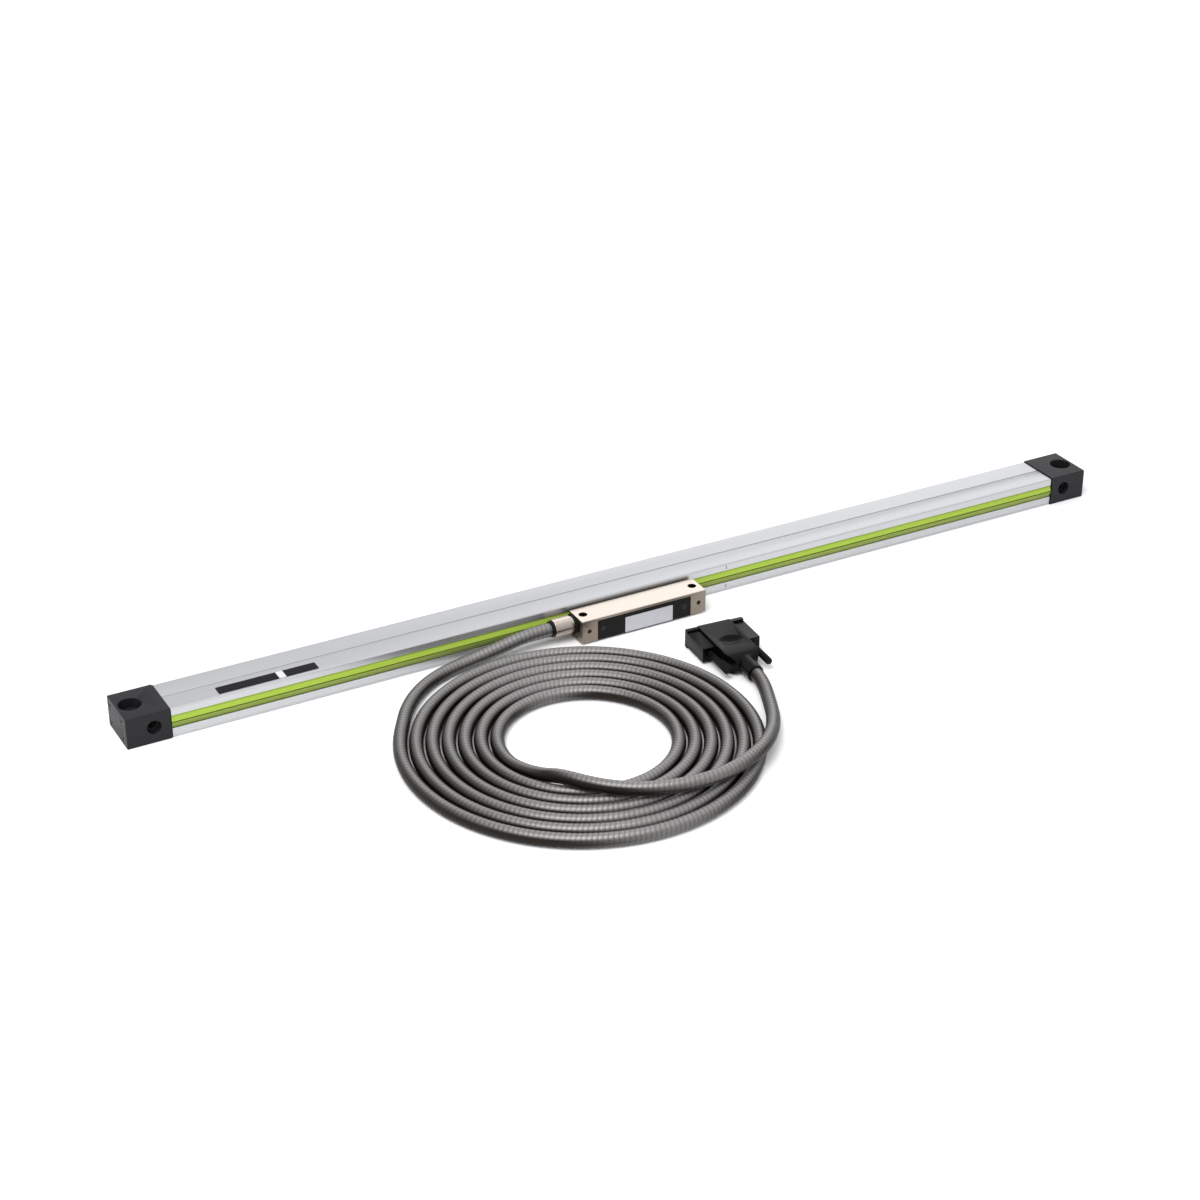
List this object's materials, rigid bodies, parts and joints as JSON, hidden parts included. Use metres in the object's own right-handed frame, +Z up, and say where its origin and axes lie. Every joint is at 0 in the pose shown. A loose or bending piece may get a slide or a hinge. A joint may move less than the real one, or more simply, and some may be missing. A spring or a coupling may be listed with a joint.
{
  "type": "linear glass scale",
  "caption": "Sealed linear glass scale: slim aluminium housing with end caps and sealing lips, a sliding reading head, and an armoured cable coiled to its connector.",
  "frame": {"origin": "centre of the housing's bottom mounting face, midway between the end caps", "axes": "+X along the scale, +Y towards the back mounting face, -Y towards the sealing lips and the reading head, +Z up"},
  "size_m": [0.812, 0.307, 0.0235],
  "materials": {
    "anodised_profile": "satin clear anodised extrusion",
    "cap_black": "black powder-coated die casting, fine grain",
    "gasket_rubber": "matt sheet rubber",
    "screw_steel": "zinc-plated steel",
    "screw_black": "blackened steel",
    "lip_green": "smooth green polyurethane seal",
    "scale_glass": "ground float glass with a chrome graduation",
    "bond_silicone": "soft silicone adhesive",
    "label_black": "matt black foil, bare",
    "nickel_casting": "satin nickel plating over a zinc die casting",
    "cover_black": "black moulded polyamide",
    "label_white": "matt white foil, bare",
    "circuit_board": "green solder resist",
    "blade_steel": "ground spring steel",
    "ribbon_polyimide": "amber polyimide film",
    "carriage_casting": "bead-blasted aluminium",
    "lamp_epoxy": "clear epoxy",
    "lens_glass": "polished optical glass",
    "cable_armour": "interlocked stainless strip, bright, fine ribs",
    "clamp_steel": "zinc-plated pressed steel",
    "core_jacket": "soft cable jacket",
    "hood_plastic": "black moulded ABS, fine spark-eroded grain",
    "shell_tin": "tin-plated steel",
    "insert_plastic": "glass-filled polyester",
    "contact_gold": "gold-flashed brass",
    "knob_black": "black moulded knob on a steel screw",
    "bearing_steel": "ground bearing steel"
  },
  "bodies": {
    "scale_unit": {"housing_profile": "anodised_profile", "end_cap_left": "cap_black", "end_cap_right": "cap_black", "cap_gasket_left": "gasket_rubber", "cap_gasket_right": "gasket_rubber", "cap_screws": "screw_steel", "upper_lip": "lip_green", "lower_lip": "lip_green", "glass_scale": "scale_glass", "glass_bond": "bond_silicone", "label_plate": "label_black"},
    "reading_head": {"head_block": "nickel_casting", "head_cover": "cover_black", "cover_gasket": "gasket_rubber", "cover_screws": "screw_black", "head_label": "label_white", "head_board": "circuit_board", "blade": "blade_steel", "blade_screws": "screw_steel", "signal_ribbon": "ribbon_polyimide", "coupling_rod": "blade_steel", "preload_spring": "blade_steel", "carriage": "carriage_casting", "roller_axles": "blade_steel", "lamp_board": "circuit_board", "lamp": "lamp_epoxy", "condenser_lens": "lens_glass", "scanning_reticle": "lens_glass", "photodiode_board": "circuit_board", "gland_body": "nickel_casting", "gland_washer": "gasket_rubber", "gland_nut": "nickel_casting", "gland_ring": "cover_black", "cable_lead": "cable_armour", "cable_coil": "cable_armour", "cable_tail": "cable_armour", "cable_boot": "hood_plastic", "cable_clamp": "clamp_steel", "core_wires": "core_jacket", "hood_top": "hood_plastic", "hood_bottom": "hood_plastic", "hood_screws": "screw_black", "connector_shell": "shell_tin", "contact_insert": "insert_plastic", "socket_contacts": "contact_gold"},
    "face_roller_1": {"face_roller_1": "bearing_steel"},
    "face_roller_2": {"face_roller_2": "bearing_steel"},
    "face_roller_3": {"face_roller_3": "bearing_steel"},
    "edge_roller_1": {"edge_roller_1": "bearing_steel"},
    "edge_roller_2": {"edge_roller_2": "bearing_steel"},
    "thumbscrew_left": {"thumbscrew_left": "knob_black"},
    "thumbscrew_right": {"thumbscrew_right": "knob_black"}
  },
  "joints": [
    {"name": "head_slide", "type": "slide", "parent": "scale_unit", "child": "reading_head", "axis": [1, 0, 0], "range_m": [-0.299, 0.331]},
    {"name": "face_roller_1_spin", "type": "hinge", "parent": "reading_head", "child": "face_roller_1", "pos_m": [-0.04, 0.0056, 0.00884], "axis": [0, 1, 0], "range_deg": [-7400, 7400]},
    {"name": "face_roller_2_spin", "type": "hinge", "parent": "reading_head", "child": "face_roller_2", "pos_m": [0.008, 0.0056, 0.00884], "axis": [0, 1, 0], "range_deg": [-7400, 7400]},
    {"name": "face_roller_3_spin", "type": "hinge", "parent": "reading_head", "child": "face_roller_3", "pos_m": [-0.003, -0.0005, 0.00884], "axis": [0, 1, 0], "range_deg": [-7400, 7400]},
    {"name": "edge_roller_1_spin", "type": "hinge", "parent": "reading_head", "child": "edge_roller_1", "pos_m": [-0.036, -0.00456, 0.013], "axis": [0, 0, 1], "range_deg": [-9600, 9600]},
    {"name": "edge_roller_2_spin", "type": "hinge", "parent": "reading_head", "child": "edge_roller_2", "pos_m": [0.004, -0.00456, 0.013], "axis": [0, 0, 1], "range_deg": [-9600, 9600]},
    {"name": "thumbscrew_left_turn", "type": "hinge", "parent": "reading_head", "child": "thumbscrew_left", "pos_m": [0.00269, -0.08781, 0.0075], "axis": [0.0698, 0.9976, 0], "continuous": true},
    {"name": "thumbscrew_right_turn", "type": "hinge", "parent": "reading_head", "child": "thumbscrew_right", "pos_m": [0.03591, -0.09014, 0.0075], "axis": [0.0698, 0.9976, 0], "continuous": true}
  ],
  "couplings": [
    {"joint": "face_roller_1_spin", "follows": "head_slide", "rad_per_m": -384.62},
    {"joint": "face_roller_2_spin", "follows": "head_slide", "rad_per_m": -384.62},
    {"joint": "face_roller_3_spin", "follows": "head_slide", "rad_per_m": -384.62},
    {"joint": "edge_roller_1_spin", "follows": "head_slide", "rad_per_m": 500},
    {"joint": "edge_roller_2_spin", "follows": "head_slide", "rad_per_m": 500}
  ]
}
